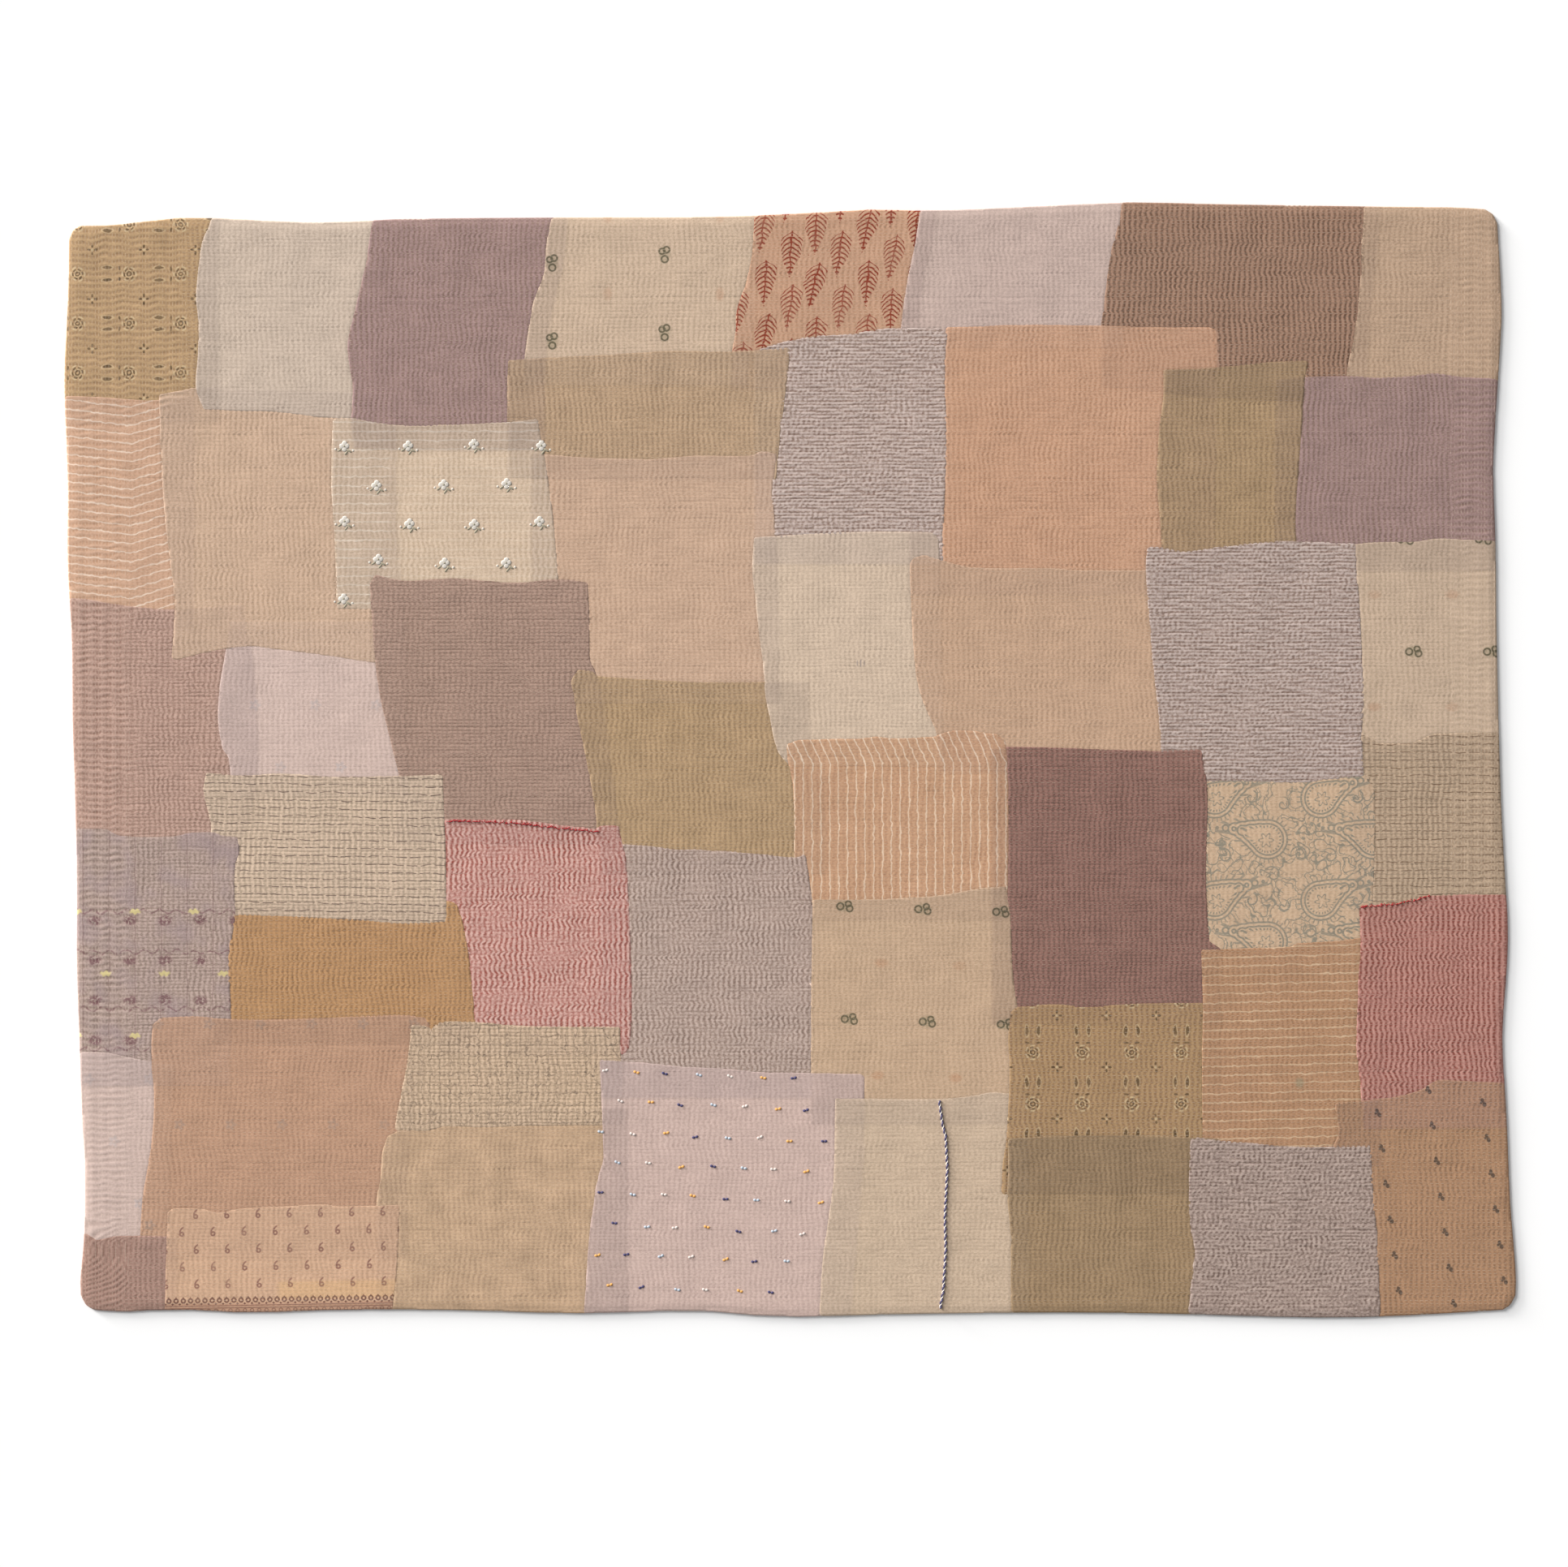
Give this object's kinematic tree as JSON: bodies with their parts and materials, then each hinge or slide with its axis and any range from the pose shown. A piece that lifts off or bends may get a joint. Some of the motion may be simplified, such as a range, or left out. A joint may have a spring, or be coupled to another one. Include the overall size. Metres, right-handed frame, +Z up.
{
  "type": "kantha quilt",
  "caption": "Flat hand-quilted patchwork throw: layered soft cotton stitched through in close rows, laid out on a bed, sofa or floor.",
  "frame": {"origin": "middle of the underside, at the centre of the quilt's box", "axes": "+X along the long side, +Y along the short side, +Z up from the underside to the patched face"},
  "size_m": [1.7316, 1.3306, 0.0046],
  "materials": {
    "quilt_cotton": "matte washed cotton muslin, stitched in rows"
  },
  "bodies": {
    "root": {"quilt": "quilt_cotton"}
  },
  "joints": []
}
